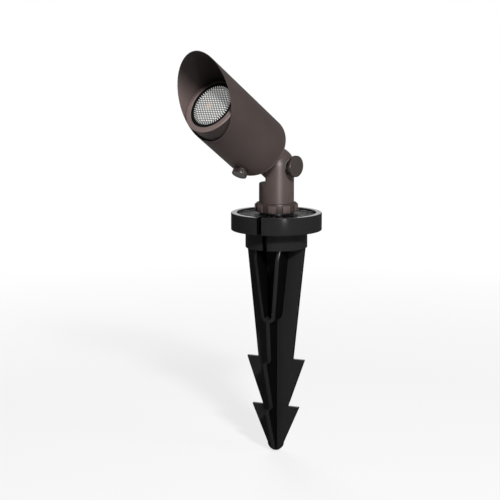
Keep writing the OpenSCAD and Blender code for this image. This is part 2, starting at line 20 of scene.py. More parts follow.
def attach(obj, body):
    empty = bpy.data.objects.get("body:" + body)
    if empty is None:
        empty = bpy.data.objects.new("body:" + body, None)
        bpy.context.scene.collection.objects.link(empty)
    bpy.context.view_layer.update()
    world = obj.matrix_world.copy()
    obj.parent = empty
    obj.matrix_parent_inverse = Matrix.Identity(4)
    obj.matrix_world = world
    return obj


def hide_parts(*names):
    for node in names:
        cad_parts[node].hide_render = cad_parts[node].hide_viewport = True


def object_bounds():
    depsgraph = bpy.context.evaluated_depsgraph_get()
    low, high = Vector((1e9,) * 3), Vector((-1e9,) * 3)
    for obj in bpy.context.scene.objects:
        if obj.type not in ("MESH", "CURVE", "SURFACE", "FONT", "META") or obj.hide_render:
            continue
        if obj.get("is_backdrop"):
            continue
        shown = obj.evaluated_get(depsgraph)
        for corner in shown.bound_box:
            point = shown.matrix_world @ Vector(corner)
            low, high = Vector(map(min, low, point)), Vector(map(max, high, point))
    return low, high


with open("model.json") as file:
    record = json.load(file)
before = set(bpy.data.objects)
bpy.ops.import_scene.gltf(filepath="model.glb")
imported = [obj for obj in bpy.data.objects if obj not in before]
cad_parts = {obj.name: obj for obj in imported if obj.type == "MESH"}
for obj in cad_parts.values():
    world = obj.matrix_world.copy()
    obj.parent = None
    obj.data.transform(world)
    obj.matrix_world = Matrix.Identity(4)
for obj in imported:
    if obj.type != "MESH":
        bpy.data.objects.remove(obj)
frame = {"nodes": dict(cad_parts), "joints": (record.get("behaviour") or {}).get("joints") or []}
CAD_LOW, CAD_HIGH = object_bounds()
MM = 0.001

# %% [markdown]
# The head points up and to one side, so its pieces are easiest to make along their own axis. A joint of
# the record knows each direction: the barrel slides along the aim, and the head tilts about the screw.
# Two matrices hold what follows from that. `AIM` has Z along the aim with the tilt axis as X, and
# `SHADE` is the same frame turned by the few degrees that the slanted mouth is turned.

# %% Axes of the head
JOINTS = {j["name"]: j for j in frame["joints"]}
PIVOT = Vector(JOINTS["head_tilt"]["pos_m"])


def axes_at(origin, x_axis, z_axis):
    """A matrix whose X and Z lie along two directions that are square to each other."""
    x, z = Vector(x_axis).normalized(), Vector(z_axis).normalized()
    y = z.cross(x)
    turn = Matrix((x, y, z)).transposed().to_4x4()
    return Matrix.Translation(origin) @ turn


AIM = axes_at(PIVOT, JOINTS["head_tilt"]["axis"], JOINTS["barrel_slide"]["axis"])
LOCK = Vector(JOINTS["barrel_screw_turn"]["axis"])
SHADE = axes_at(PIVOT, AIM.col[2].xyz.cross(LOCK), AIM.col[2].xyz)
UPRIGHT = Matrix.Identity(4)
TILT = axes_at(PIVOT, -AIM.col[2].xyz, AIM.col[0].xyz)
LOCK_UP = axes_at(Vector(JOINTS["barrel_screw_turn"]["pos_m"]), SHADE.col[0].xyz, LOCK)


def reach(node, axes):
    """(lowest, highest) along Z of the given axes, and the largest radius, of a CAD node."""
    turned = axes.inverted()
    spots = [turned @ v.co for v in frame["nodes"][node].data.vertices]
    heights = [p.z for p in spots]
    return min(heights), max(heights), max(p.xy.length for p in spots)


print("aim", [round(c, 3) for c in AIM.col[2].xyz], "shroud", [round(c, 4) for c in reach("shroud", AIM)])

# %% [markdown]
# The camera stands a metre and a half off, above the lamp, and to the right of the spike's front slot. A
# long focal length keeps the tube's two edges nearly parallel, and the small pan frames the object as the
# picture does. The numbers were fitted to the outline of the object.

# %% Camera
CAMERA_AWAY, CAMERA_UP = 1.4956, 0.2308
CAMERA_ROUND, CAMERA_PAN, CAMERA_PITCH = radians(22), radians(1.02), radians(9.57)
camera = bpy.data.objects.new("camera", bpy.data.cameras.new("camera"))
camera.data.lens, camera.data.sensor_width = 108, 36
camera.location = (CAMERA_AWAY * sin(CAMERA_ROUND), -CAMERA_AWAY * cos(CAMERA_ROUND), CAMERA_UP)
camera.rotation_euler = (pi / 2 - CAMERA_PITCH, 0, CAMERA_ROUND + CAMERA_PAN)
bpy.context.scene.collection.objects.link(camera)
bpy.context.scene.camera = camera
print("camera at", [round(c, 3) for c in camera.location])

# %% [markdown]
# Materials are written as sums. `Flow` wraps a socket, so `base * 0.8 + 0.1` adds the Math nodes, and
# `1 - mask` works too. `Finish` is one material: its `add` makes any node from a type, the settings
# that must be set first, and the values or links of its sockets. Colours go through Mix and Vector
# Math, because a Math node would turn them grey.


# %% Sockets that can be added up
class Flow:
    """One output socket, with the operators that Math nodes stand for."""

    def __init__(self, finish, socket):
        self.finish, self.socket = finish, socket

    def math(self, operation, first, second):
        node = self.finish.add("ShaderNodeMath", {"operation": operation}, {0: first, 1: second})
        return Flow(self.finish, node.outputs[0])

    def __add__(self, other): return self.math("ADD", self, other)
    def __radd__(self, other): return self.math("ADD", other, self)
    def __sub__(self, other): return self.math("SUBTRACT", self, other)
    def __rsub__(self, other): return self.math("SUBTRACT", other, self)
    def __mul__(self, other): return self.math("MULTIPLY", self, other)
    def __rmul__(self, other): return self.math("MULTIPLY", other, self)
    def __pow__(self, other): return self.math("POWER", self, other)
    def over(self, other): return self.math("MAXIMUM", self, other)
    def size(self): return self.math("ABSOLUTE", self, 0.0)


class Finish:
    """A material, or the world, whose nodes are made by calls."""

    def __init__(self, owner):
        self.owner = owner
        owner.use_nodes = True
        self.nodes, self.links = owner.node_tree.nodes, owner.node_tree.links
        self.nodes.clear()
        if isinstance(owner, bpy.types.Material):
            self.place = self.out(self.add("ShaderNodeTexCoord"), "Object")

    def add(self, kind, settings=None, values=None):
        node = self.nodes.new(kind)
        for name, value in (settings or {}).items():
            setattr(node, name, value)
        for name, value in (values or {}).items():
            if isinstance(value, Flow):
                self.links.new(value.socket, node.inputs[name])
            else:
                node.inputs[name].default_value = value
        return node

    def out(self, node, name=0):
        return Flow(self, node.outputs[name])

    def along(self, axes):
        """The place as three distances in millimetres along the axes of a matrix."""
        moved = self.out(self.add("ShaderNodeVectorMath", {"operation": "SUBTRACT"},
                                  {0: self.place, 1: axes.translation}))
        dots = [self.add("ShaderNodeVectorMath", {"operation": "DOT_PRODUCT"}, {0: moved, 1: column.xyz / MM})
                for column in axes.col[:3]]
        return [self.out(dot, "Value") for dot in dots]

    def facing(self):
        """The three parts of the surface's direction."""
        geometry = self.add("ShaderNodeNewGeometry")
        split = self.add("ShaderNodeSeparateXYZ", None, {0: self.out(geometry, "Normal")})
        return [self.out(split, axis) for axis in "XYZ"]

    def cloud(self, scale, detail=2.0, roughness=0.5, place=None):
        """Soft noise from 0 to 1. The scale is in lumps a metre."""
        values = {"Vector": place or self.place, "Scale": scale, "Detail": detail, "Roughness": roughness}
        return self.out(self.add("ShaderNodeTexNoise", None, values), "Fac")

    def cells(self, scale):
        """Distance to the nearest of many scattered points."""
        return self.out(self.add("ShaderNodeTexVoronoi", None, {"Vector": self.place, "Scale": scale}), "Distance")

    def remap(self, flow, low, high, to_low=0.0, to_high=1.0):
        values = {"Value": flow, "From Min": low, "From Max": high, "To Min": to_low, "To Max": to_high}
        return self.out(self.add("ShaderNodeMapRange", None, values))

    def above(self, flow, level, soft):
        """A mask that is 1 where the value is over the level."""
        return self.remap(flow, level - soft, level + soft)

    def below(self, flow, level, soft):
        """A mask that is 1 where the value is under the level."""
        return self.remap(flow, level - soft, level + soft, 1.0, 0.0)

    def blend(self, amount, first, second):
        """A colour between two colours."""
        node = self.add("ShaderNodeMix", {"data_type": "RGBA"})
        for socket, value in ((node.inputs[0], amount), (node.inputs[6], first), (node.inputs[7], second)):
            if isinstance(value, Flow):
                self.links.new(value.socket, socket)
            else:
                socket.default_value = value
        return Flow(self, node.outputs[2])

    def rounded(self, radius):
        """The surface's direction as if its edges were rounded to this radius."""
        return self.out(self.add("ShaderNodeBevel", {"samples": 6}, {"Radius": radius}))

    def bump(self, height, depth, normal=None):
        values = {"Height": height, "Distance": depth, "Strength": 1.0}
        if normal:
            values["Normal"] = normal
        return self.out(self.add("ShaderNodeBump", None, values))

    def seen(self):
        """1 for the rays that show a background: those of the camera, of gloss and of glass."""
        ray = self.add("ShaderNodeLightPath")
        kinds = [self.out(ray, "Is %s Ray" % kind) for kind in ("Camera", "Glossy", "Transmission")]
        return kinds[0].over(kinds[1]).over(kinds[2])

    def surface(self, **values):
        """Ends the material with one Principled shader. Words in its sockets' names are joined by underscores."""
        shader = self.add("ShaderNodeBsdfPrincipled", None, {k.replace("_", " "): v for k, v in values.items()})
        end = self.add("ShaderNodeOutputMaterial")
        self.links.new(shader.outputs[0], end.inputs[0])
        return self.owner


def new_finish(name):
    return Finish(bpy.data.materials.new(name))


def shade(colour, share=1.0):
    """A colour made darker or lighter, as a socket takes it."""
    return (*(part * share for part in colour), 1.0)


def grey(level):
    return shade((level, level, level))


print("helpers ready")

# %% [markdown]
# Powder coat is dry paint that is baked on. It flows just enough to level, so up close it has the soft
# waviness of an orange's skin, and a pigment with a little metal gives it depth. A noise some tenths of
# a millimetre across makes the skin, and a slow one shifts the colour by a few percent, as thickness
# does. The shader rounds the edges, where the coat is thinner.
#
# One coat serves six pieces, each at its own level. Inside the tube, and on the lens ring, the coat is lighter
# on the low side and darker on the upper side: painted light and painted shade. The lock ring's pads are
# lighter than its core, which is painted light on the pads and painted shade on the flats between them, and
# the knuckle is darker towards its left, a painted shadow of the head. Three more materials could say the
# same, but masks worked out from the place keep it one recipe.


# %% Bronze powder coat
BRONZE = (0.050, 0.0375, 0.0350)
SHROUD_IN_R = 31.1


def powder_coat(name, level, roughness, gloss=0.25, edge=0.4 * MM, painted_light_and_shade_inside=None, core=0, painted_shade_left=0):
    """Bronze of some level. The last three arguments paint light and shade by place: inside the tube and the ring, on
    the lock ring's pads and on the knuckle's left side.
    """
    coat = new_finish(name)
    slow, skin, grit = coat.cloud(22, 3), coat.cloud(1500, 2, 0.6), coat.cells(2600)

    def bronze(share):
        return shade(BRONZE, level * share)

    colours = coat.blend(coat.remap(slow, 0.3, 0.7), bronze(0.9), bronze(1.1))
    colours = coat.blend(coat.remap(grit, 0.05, 0.3, 0.3, 0.0), colours, bronze(1.5))
    # Painted light on the low side inside the tube and the ring, and painted shade on their upper side.
    if painted_light_and_shade_inside:
        inside_lit_level, inside_shaded_level = painted_light_and_shade_inside
        x, y, z = coat.along(SHADE)
        inside = coat.below((x * x + y * y) ** 0.5, SHROUD_IN_R, 0.1)
        colours = coat.blend(inside, colours, coat.blend(coat.remap(y, 0, 20), bronze(inside_lit_level), bronze(inside_shaded_level)))
    if core or painted_shade_left:
        x, y, z = coat.along(UPRIGHT)
    # Painted light on the lock ring's pads and painted shade on the flats between them.
    if core:
        pads = coat.above((x * x + y * y) ** 0.5, core, 0.4)
        colours = coat.blend(pads, bronze(0.7), bronze(1.25))
    # Painted shadow of the head: the knuckle gets darker towards its left side.
    if painted_shade_left:
        colours = coat.blend(coat.remap(x, -painted_shade_left, -painted_shade_left / 2, 1.0, 0.0), colours, bronze(0.4))
    bumps = coat.bump(skin * 0.8 + grit * 0.4, 0.014 * MM, coat.rounded(edge))
    return coat.surface(Base_Color=colours, Metallic=0.03, Roughness=slow * 0.06 + skin * 0.08 + (roughness - 0.07),
                        Specular_IOR_Level=0.0, Normal=bumps, Coat_Weight=(slow * 0.3 + 0.85) * gloss,
                        Coat_Roughness=roughness)


bronze_tube = powder_coat("bronze_tube", 1.0, 0.45, 0.15, painted_light_and_shade_inside=(2.1, 0.3))
# The ring's coat is a copy 3.3 times as light as the tube's: painted light for the light its face catches.
bronze_ring = powder_coat("bronze_ring", 3.3, 0.34, 0.2, edge=0.15 * MM, painted_light_and_shade_inside=(1.15, 0.12))
bronze_lock = powder_coat("bronze_lock", 1.5, 0.34, 0.1, edge=0.12 * MM, core=21.3)
bronze_cast = powder_coat("bronze_cast", 1.5, 0.38, 0.12, painted_shade_left=12)
bronze_screw = powder_coat("bronze_screw", 0.6, 0.24, 0.4, edge=0.5 * MM)
bronze_barrel = powder_coat("bronze_barrel", 0.6, 0.42)
print("coats:", [m.name for m in bpy.data.materials if m.name.startswith("bronze")])

# %% [markdown]
# The spike is moulded from black plastic. The mould is ground and polished where its two halves shut,
# at the flat tops of the flange, so they mirror the horizon. Its other walls are only spark eroded,
# which leaves the plastic dull, and most of all between the ribs, in the slots and on the flanks of the
# blades. There the colour is also made nearly black, which is painted shade. Masks worked out from the
# surface's direction and its place pick the finish. Scuffs take a little polish away.


# %% Black moulded plastic
POCKET_R, POCKET_LOW, POCKET_TOP = 39.7, 1.75, 15.75
COLLAR_LOW, SLOT_SIDE, SLOT_DEEP = -18.15, 2.45, -25.5


def moulded_black(name, level, side_coat, top_coat):
    plastic = new_finish(name)
    x, y, z = plastic.along(UPRIGHT)
    face_x, face_y, face_z = plastic.facing()
    pocket = (plastic.below((x * x + y * y) ** 0.5, POCKET_R, 0.1) * plastic.below(z, POCKET_TOP, 0.15)
              * plastic.above(z, POCKET_LOW, 1.25))
    top = plastic.remap(face_z, 0.8, 0.95) * (1 - pocket)
    slot = (plastic.below(x.size(), SLOT_SIDE, 0.15) * plastic.below(y, SLOT_DEEP, 0.5)
            * plastic.above(z, COLLAR_LOW, 0.25))
    flank = (plastic.remap(face_x.size(), 0.6, 0.9) * plastic.below(z, COLLAR_LOW, 0.25)).over(slot)
    along = plastic.out(plastic.add("ShaderNodeMapping", None, {"Vector": plastic.place, "Scale": (1.0, 1.0, 0.12)}))
    flow = plastic.cloud(90, 3, 0.55, along)
    scuff = plastic.remap(plastic.cloud(900, 4, 0.7, along), 0.6, 0.74)
    fine = plastic.cloud(2400, 2)
    black = (level, level * 0.975, level * 0.985)
    colours = plastic.blend(flow, shade(black, 0.9), shade(black, 1.1))
    # Painted shade: the pockets between the ribs, the slots and the blades' side walls are made nearly black.
    colours = plastic.blend(pocket.over(flank), colours, grey(0.003))
    colours = plastic.blend(scuff * 0.1, colours, grey(0.03))
    polish = (top * (top_coat - side_coat) + side_coat) * (1 - pocket * 0.9) * (1 - flank * 0.8) * (1 - scuff * 0.3)
    bumps = plastic.bump(flow * 0.2 + fine * 0.1, 0.02 * MM, plastic.rounded(0.2 * MM))
    return plastic.surface(Base_Color=colours, Roughness=flow * 0.08 + scuff * 0.12 + 0.5, Specular_IOR_Level=0.0,
                           Coat_Weight=polish, Coat_Roughness=0.18, Normal=bumps)


spike_black = moulded_black("spike_black", 0.016, 0.04, 1.0)
lamp_black = moulded_black("lamp_black", 0.006, 0.15, 0.15)
print("plastics:", spike_black.name, lamp_black.name)

# %% [markdown]
# Rubber seals are matt and dusty. The plain metals inside the head, which show only where it is taken
# apart, still get their own grain: turned rings on brass and steel, and a cast skin on the heat sink.


# %% Rubber and bare metals
def rubber(name, level=1.0):
    seal = new_finish(name)
    dust = seal.cloud(260, 4, 0.6)
    grain = seal.cloud(3200, 2)
    colours = seal.blend(seal.remap(dust, 0.45, 0.8), grey(0.012 * level), shade((0.030, 0.029, 0.028), level))
    return seal.surface(Base_Color=colours, Roughness=dust * 0.15 + 0.62, Specular_IOR_Level=0.2 * level,
                        Normal=seal.bump(grain, 0.03 * MM))


def bare_metal(name, colour, roughness, grain_scale):
    metal = new_finish(name)
    grain = metal.cloud(grain_scale, 4, 0.65)
    stain = metal.remap(metal.cloud(120, 3), 0.4, 0.75)
    colours = metal.blend(stain * 0.5, shade(colour), shade(colour, 0.72))
    return metal.surface(Base_Color=colours, Metallic=1.0, Roughness=grain * 0.14 + stain * 0.1 + (roughness - 0.08),
                         Normal=metal.bump(grain, 0.02 * MM, metal.rounded(0.2 * MM)))


def smooth_paint(name, colour, roughness, lumps=500):
    """Ceramic, board lacquer and wire jackets: an even colour with a faint mottle."""
    paint = new_finish(name)
    mottle = paint.cloud(lumps, 3)
    colours = paint.blend(paint.remap(mottle, 0.3, 0.7), shade(colour, 0.94), shade(colour))
    return paint.surface(Base_Color=colours, Roughness=mottle * 0.12 + (roughness - 0.06),
                         Normal=paint.bump(mottle, 0.02 * MM, paint.rounded(0.2 * MM)))


seal_rubber = rubber("seal_rubber")
gasket_black = rubber("gasket_black", 0.2)
nut_brass = bare_metal("nut_brass", (0.70, 0.50, 0.23), 0.30, 1400)
pin_brass = bare_metal("pin_brass", (0.78, 0.66, 0.36), 0.22, 1800)
washer_steel = bare_metal("washer_steel", (0.60, 0.59, 0.56), 0.30, 1600)
sink_metal = bare_metal("sink_metal", (0.66, 0.67, 0.68), 0.38, 900)
holder_ceramic = smooth_paint("holder_ceramic", (0.80, 0.77, 0.70), 0.35)
board_lacquer = smooth_paint("board_lacquer", (0.84, 0.83, 0.78), 0.40)
phosphor = smooth_paint("phosphor", (0.90, 0.62, 0.14), 0.55, 2500)
wire_jacket = smooth_paint("wire_jacket", (0.82, 0.82, 0.79), 0.45)
print("small finishes ready")

# %% [markdown]
# The lens is clear plastic with a grid of small pillows, and its colour paints their light: each cell is
# white in its middle, a painted highlight, and dark where two of them meet, painted shade. The same lattice
# as that of the mesh below is worked out here from the place on the lens: the cells stand in rows, and each
# row is shifted by half a cell. The fan of prisms at the edge is painted white and black in turn, highlight
# and shade, and past a border the lens is black. The whole pattern also glows a little though the lamp is
# off, which is painted light, and a faint warm patch is the light source behind.

# %% Patterned lens finish
LENS_R, LENS_T, LENS_BACK, PROUD_R, PROUD_Z = 26.3, 3.0, 110.75, 22.7, 115.6
CELL_ALONG, CELL_ACROSS, PRISM_IN_R, PRISMS = 2.7, 5.4, 18.7, 54
LATTICE, BORDER_R, SPOT_X, SPOT_Y = radians(66), 21.15, 3.5, 1.5


def patterned_lens(name):
    lens = new_finish(name)
    x, y, z = lens.along(AIM)
    from_middle = (x * x + y * y) ** 0.5
    row = (x * cos(LATTICE) + y * sin(LATTICE)) * (pi / CELL_ALONG)
    rank = (y * cos(LATTICE) - x * sin(LATTICE)) * (pi / CELL_ACROSS)
    wave, weave = row + rank, row - rank
    cell = wave.math("COSINE", wave, 0.0).size() * weave.math("COSINE", weave, 0.0).size()
    turn = y.math("ARCTAN2", y, x)
    fan = lens.remap(turn.math("COSINE", turn * PRISMS, 0.0), 0.1, 0.8)
    haze = lens.cloud(300, 3)
    # Painted highlight in each cell's middle and painted shade where the cells meet.
    pillow = lens.blend(cell ** 1.3, grey(0.10), shade((1.15, 1.15, 1.14)))
    warm = lens.remap(((x + SPOT_X) ** 2.0 + (y + SPOT_Y) ** 2.0) ** 0.5, 1.0, 5.5, 0.5, 0.0)
    pillow = lens.blend(warm, pillow, shade((0.80, 0.62, 0.46)))
    # The prism fan is painted highlight and shade in turn.
    colours = lens.blend(lens.above(from_middle, PRISM_IN_R, 0.4), pillow, lens.blend(fan, grey(0.0), grey(0.9)))
    colours = lens.blend(lens.above(from_middle, BORDER_R, 0.15), colours, grey(0.0))
    paint = lens.blend(haze * 0.1 + 0.45, colours, grey(0.0))
    # The emission is painted light: the lens glows though the lamp is off.
    return lens.surface(Base_Color=paint, Roughness=haze * 0.05 + 0.12, Specular_IOR_Level=0.1,
                        Emission_Color=colours, Emission_Strength=0.42)


lens_clear = patterned_lens("lens_clear")
print("lens finish:", lens_clear.name)

# %% [markdown]
# Most pieces here are turned on a lathe, pressed from plate or moulded, so three small tools are enough.
# `Shape` collects corners and faces. `turned` sweeps a section round an axis and can leave a slot at the
# front. `plate` thickens an outline and rounds all its edges. A section's corner is (radius, height,
# rounding), because no edge of a cast or moulded piece is sharp, and the roundings catch the light.


# %% Tools for shapes
class Shape:
    """Corners in millimetres, and faces between them."""

    def __init__(self):
        self.corners, self.faces = [], []

    def loops(self, rings, around=False):
        """Joins rings of corners with the same count by quads."""
        start, count = len(self.corners), len(rings[0])
        for ring in rings:
            self.corners += [tuple(p) for p in ring]
        for i in range(len(rings) if around else len(rings) - 1):
            this, after = start + i * count, start + (i + 1) % len(rings) * count
            for k in range(count):
                n = (k + 1) % count
                self.faces.append((this + k, this + n, after + n, after + k))
        return start

    def cap(self, start, count, flip=False):
        face = tuple(range(start, start + count))
        self.faces.append(face[::-1] if flip else face)

    def include(self, mesh):
        start = len(self.corners)
        self.corners += [tuple(v.co) for v in mesh.verts]
        self.faces += [tuple(start + v.index for v in face.verts) for face in mesh.faces]

    def piece(self, name, axes, finish, body, nodes, sharp=38):
        """A piece of the object: its mesh is set in place, it rides on a body and replaces CAD nodes."""
        mesh = bpy.data.meshes.new(name)
        mesh.from_pydata(self.corners, [], self.faces)
        mesh.transform(axes @ Matrix.Scale(MM, 4))
        made = bmesh.new()
        made.from_mesh(mesh)
        bmesh.ops.remove_doubles(made, verts=made.verts, dist=0.002 * MM)
        bmesh.ops.recalc_face_normals(made, faces=made.faces)
        made.to_mesh(mesh)
        made.free()
        mesh.shade_smooth()
        mesh.set_sharp_from_angle(angle=radians(sharp))
        mesh.materials.append(finish)
        thing = bpy.data.objects.new(name, mesh)
        bpy.context.scene.collection.objects.link(thing)
        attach(thing, body)
        if nodes:
            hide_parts(*nodes)


def circle(r, z, angles):
    return [(r * cos(a), r * sin(a), z) for a in angles]


def eased(corners, steps=4):
    """A closed section with each corner (x, z, rounding) replaced by a small arc."""
    made = []
    for i, (x, z, size) in enumerate(corners):
        if size == 0:
            made.append((x, z))
            continue
        here = Vector((x, z))
        before, after = Vector(corners[i - 1][:2]), Vector(corners[(i + 1) % len(corners)][:2])
        to_before, to_after = before - here, after - here
        spread = min(size, to_before.length * 0.49, to_after.length * 0.49)
        a, b = here + to_before.normalized() * spread, here + to_after.normalized() * spread
        for k in range(steps + 1):
            t = k / steps
            made.append(tuple(a * (1 - t) ** 2 + here * 2 * t * (1 - t) + b * t ** 2))
    return made


def turned(shape, section, steps=128, slot=0.0):
    """Sweeps a closed section round Z. A slot of the given half width stays open at -Y."""
    rings = []
    for i in range(steps + 1 if slot else steps):
        ring = []
        for r, z in section:
            rest = math.asin(min(slot / r, 1.0)) if slot else 0.0
            a = rest + (2 * pi - 2 * rest) * i / steps
            ring.append((r * sin(a), -r * cos(a), z))
        rings.append(ring)
    start = shape.loops(rings, around=not slot)
    if slot:
        shape.cap(start, len(section))
        shape.cap(start + steps * len(section), len(section), flip=True)


def plate(shape, outline, thick, rounding, turn=0.0):
    """A plate in the XZ plane, turned about Z, with all the edges of its two faces rounded."""
    made = bmesh.new()
    face = made.faces.new([made.verts.new((x, -thick / 2, z)) for x, z in outline])
    grown = bmesh.ops.extrude_face_region(made, geom=[face])
    moved = [g for g in grown["geom"] if isinstance(g, bmesh.types.BMVert)]
    bmesh.ops.translate(made, verts=moved, vec=(0, thick, 0))
    bmesh.ops.recalc_face_normals(made, faces=made.faces)
    edges = [e for e in made.edges if abs(e.verts[0].co.y - e.verts[1].co.y) < 1e-6]
    bmesh.ops.bevel(made, geom=edges, offset=rounding, segments=3, profile=0.5, affect="EDGES", clamp_overlap=True)
    bmesh.ops.rotate(made, verts=made.verts, matrix=Matrix.Rotation(turn, 3, "Z"))
    made.verts.index_update()
    shape.include(made)
    made.free()


def mirrored(side):
    return side + [(-x, z) for x, z in reversed(side)]


print("shape tools ready")

# %% [markdown]
# The spike is the piece that takes most skill. It is one moulding, so every wall is about as thick as
# the next, and ribs do the work of mass: 22 of them hold the flange's rim to its hub. Below the ground
# two plates cross, barbed so that the lamp can't be pulled out, and a hairpin of thin wall stiffens the
# neck where a hammer's blow would bend it. The front slots let the wires out.
#
# It could be cut from blocks with booleans. Sweeping each wall in its own way is quicker to read, keeps
# clean edges for the roundings, and the walls only need to run into each other.

# %% Sizes of the spike
FLANGE_R, FLANGE_H, FLANGE_WALL, FLANGE_FLOOR = 45.75, 17.5, 6.0, 3.5
HUB_R, HUB_DROP, STEM_HOLE_R = 17.0, 8.0, 10.36
COLLAR_R, COLLAR_IN_R, COLLAR_H, SLOT_HALF = 31.25, 26.75, 17.8, 2.2
BLADE_T, BLADE_TOP_R, NECK_R, UPPER_R, UPPER_Z = 4.4, 31.0, 18.8, 31.0, 132.5
WAIST_R, LOWER_R, LOWER_Z, LAND, TIP_R, TIP_Z = 13.4, 25.2, 182.5, 1.0, 8.4, 230.5
BEND_Z, BEND_R, BEND_WALL, LEAN = 85.0, 5.9, 4.0, radians(5.9)
RIBS, RIB_T, RIB_TOP = 22, 2.0, 16.2
print("spike:", FLANGE_H + TIP_Z, "mm from tip to rim")

# %% [markdown]
# The flange is a floor, a rim and a hub, and the collar hangs under it. All four are turned. The rim and
# the collar stop short of the front, where the slot is. Ribs run a little into both walls that they hold.

# %% Flange, hub, collar and ribs
RIM_IN_R, MID_FLOOR, BITE = FLANGE_R - FLANGE_WALL, FLANGE_FLOOR / 2, 0.3
spike = Shape()
turned(spike, eased([(HUB_R - 1, 0.2, 0), (FLANGE_R, 0, 0.7), (FLANGE_R, MID_FLOOR, 0), (RIM_IN_R, MID_FLOOR, 0),
                     (RIM_IN_R, FLANGE_FLOOR, 0), (HUB_R - 1, FLANGE_FLOOR, 0)]), 192)
turned(spike, eased([(FLANGE_R, MID_FLOOR, 0), (FLANGE_R, FLANGE_H, 1.0), (RIM_IN_R, FLANGE_H, 0.8),
                     (RIM_IN_R, MID_FLOOR, 0)]), 192, SLOT_HALF)
turned(spike, eased([(STEM_HOLE_R, -HUB_DROP, 0.4), (HUB_R, -HUB_DROP, 0.6), (HUB_R, FLANGE_H, 0.6),
                     (STEM_HOLE_R, FLANGE_H, 0.4)]), 96)
turned(spike, eased([(COLLAR_IN_R, -COLLAR_H, 0.5), (COLLAR_R, -COLLAR_H, 0.7), (COLLAR_R, 0.1, 0),
                     (COLLAR_IN_R, 0.1, 0)]), 160, SLOT_HALF)
rib_section = eased([(-RIB_T / 2, FLANGE_FLOOR - BITE, 0), (-RIB_T / 2, RIB_TOP, 0.2), (RIB_T / 2, RIB_TOP, 0.2),
                     (RIB_T / 2, FLANGE_FLOOR - BITE, 0)], 2)
for i in range(RIBS):
    a = (i + 0.5) * 2 * pi / RIBS
    outwards, across = Vector((cos(a), sin(a), 0)), Vector((-sin(a), cos(a), 0))
    spike.loops([[outwards * r + across * t + Vector((0, 0, z)) for t, z in rib_section]
                 for r in (HUB_R - 0.5, RIM_IN_R + BITE)])
print("flange:", len(spike.faces), "faces with", RIBS, "ribs")

# %% [markdown]
# The blades are two plates with the same barbed point. The one across the front is cut down in its
# middle, where the wires come out. The other starts under the bend of the hairpins.


# %% Blades
def blade_reach(depth):
    """Half the width of the blades' neck at a depth."""
    return BLADE_TOP_R + (NECK_R - BLADE_TOP_R) * (depth - COLLAR_H) / (UPPER_Z - COLLAR_H)


def point_side():
    """One side of the point as (x, z): the two barbs and the round tip."""
    side = [(NECK_R, -UPPER_Z), (UPPER_R, -UPPER_Z), (UPPER_R, -UPPER_Z - LAND), (WAIST_R, -LOWER_Z),
            (LOWER_R, -LOWER_Z), (LOWER_R, -LOWER_Z - LAND)]
    return side + [(TIP_R * cos(radians(a)), TIP_R - TIP_Z - TIP_R * sin(radians(a))) for a in range(0, 91, 10)]


WINDOW_TOP, SEAT, BLADE_ROUND = 15, 0.2, 0.55
window_x = (BEND_Z - WINDOW_TOP) * math.tan(LEAN) + (BEND_R - BEND_WALL / 2) / cos(LEAN)
plate(spike, mirrored([(window_x, -WINDOW_TOP), (window_x, -SEAT), (COLLAR_IN_R + 1, -SEAT),
                       (COLLAR_IN_R + 1, -COLLAR_H), (BLADE_TOP_R, -COLLAR_H)] + point_side()), BLADE_T, BLADE_ROUND)
plate(spike, mirrored([(blade_reach(BEND_Z + BEND_R), -BEND_Z - BEND_R)] + point_side()), BLADE_T, BLADE_ROUND, pi / 2)
print("with blades:", len(spike.faces), "faces")

# %% [markdown]
# A hairpin's middle line is two straight legs and half a circle. At each point of it a small section
# stands square to the line: it reaches out to the blades' own outline, with its outer edges rounded, and
# back into the plate behind.


# %% Hairpins
def hairpin_path():
    """Middle line of the hairpin as (x, z, direction outwards), from one top to the other."""
    top_x = (BEND_Z * sin(LEAN) + BEND_R) / cos(LEAN)
    leg = [(top_x + (BEND_R * cos(LEAN) - top_x) * t / 10, -(BEND_Z + BEND_R * sin(LEAN)) * t / 10, -LEAN)
           for t in range(10)]
    bend = [(BEND_R * cos(a), BEND_R * sin(a) - BEND_Z, a)
            for a in [-LEAN - i * (pi / 2 - LEAN) / 10 for i in range(11)]]
    half = leg + bend
    return half + [(-x, z, pi - a) for x, z, a in reversed(half[:-1])]


ROOT_Y, HAIRPIN_INSET = 1.5, 0.4
EDGE = [(-1, 0.75), (-0.9, 0.22), (-0.7, 0), (0.7, 0), (0.9, 0.22), (1, 0.75)]
for front in (-1, 1):
    rings = []
    for x, z, a in hairpin_path():
        ring = []
        for offset, back in [(-1, None)] + EDGE + [(1, None)]:
            px, pz = x + cos(a) * offset * BEND_WALL / 2, z + sin(a) * offset * BEND_WALL / 2
            widest = COLLAR_IN_R if pz > -COLLAR_H else blade_reach(-pz) - HAIRPIN_INSET
            py = ROOT_Y if back is None else math.sqrt(max(widest ** 2 - px ** 2, 0)) - back
            ring.append((px, front * py, pz))
        rings.append(ring)
    spike.loops(rings)
spike_nodes = ["spike_flange", "spike_hub", "spike_collar", "spike_web", "spike_hairpins", "spike_point"]
spike.piece("moulded_spike", UPRIGHT, spike_black, "spike", spike_nodes)
print("whole spike:", len(spike.faces), "faces")

# %% [markdown]
# The shroud is a piece of tube with a spun back. Its mouth is cut on a slant, a little deeper on one
# side, and flared inside to a thin lip. The mouth's height depends on where you are round the tube, so
# the front points of the section move with the angle: their heights are counted from the mouth. The boss
# for the barrel's screw is a small turned pad on the lower side.

# %% Shroud
TUBE_R, TUBE_IN_R, STANDOFF, BACK_R, BACK_T = 31.8, 30.1, 24.5, 13.0, 3.0
MOUTH, MOUTH_SLOPE, MOUTH_DIP, NECK_HOLE_R = 129.8, radians(44), 3.0, 9.05


def mouth_at(x, y):
    return MOUTH + y * math.tan(MOUTH_SLOPE) - MOUTH_DIP * max(0.0, x / TUBE_R) ** 2


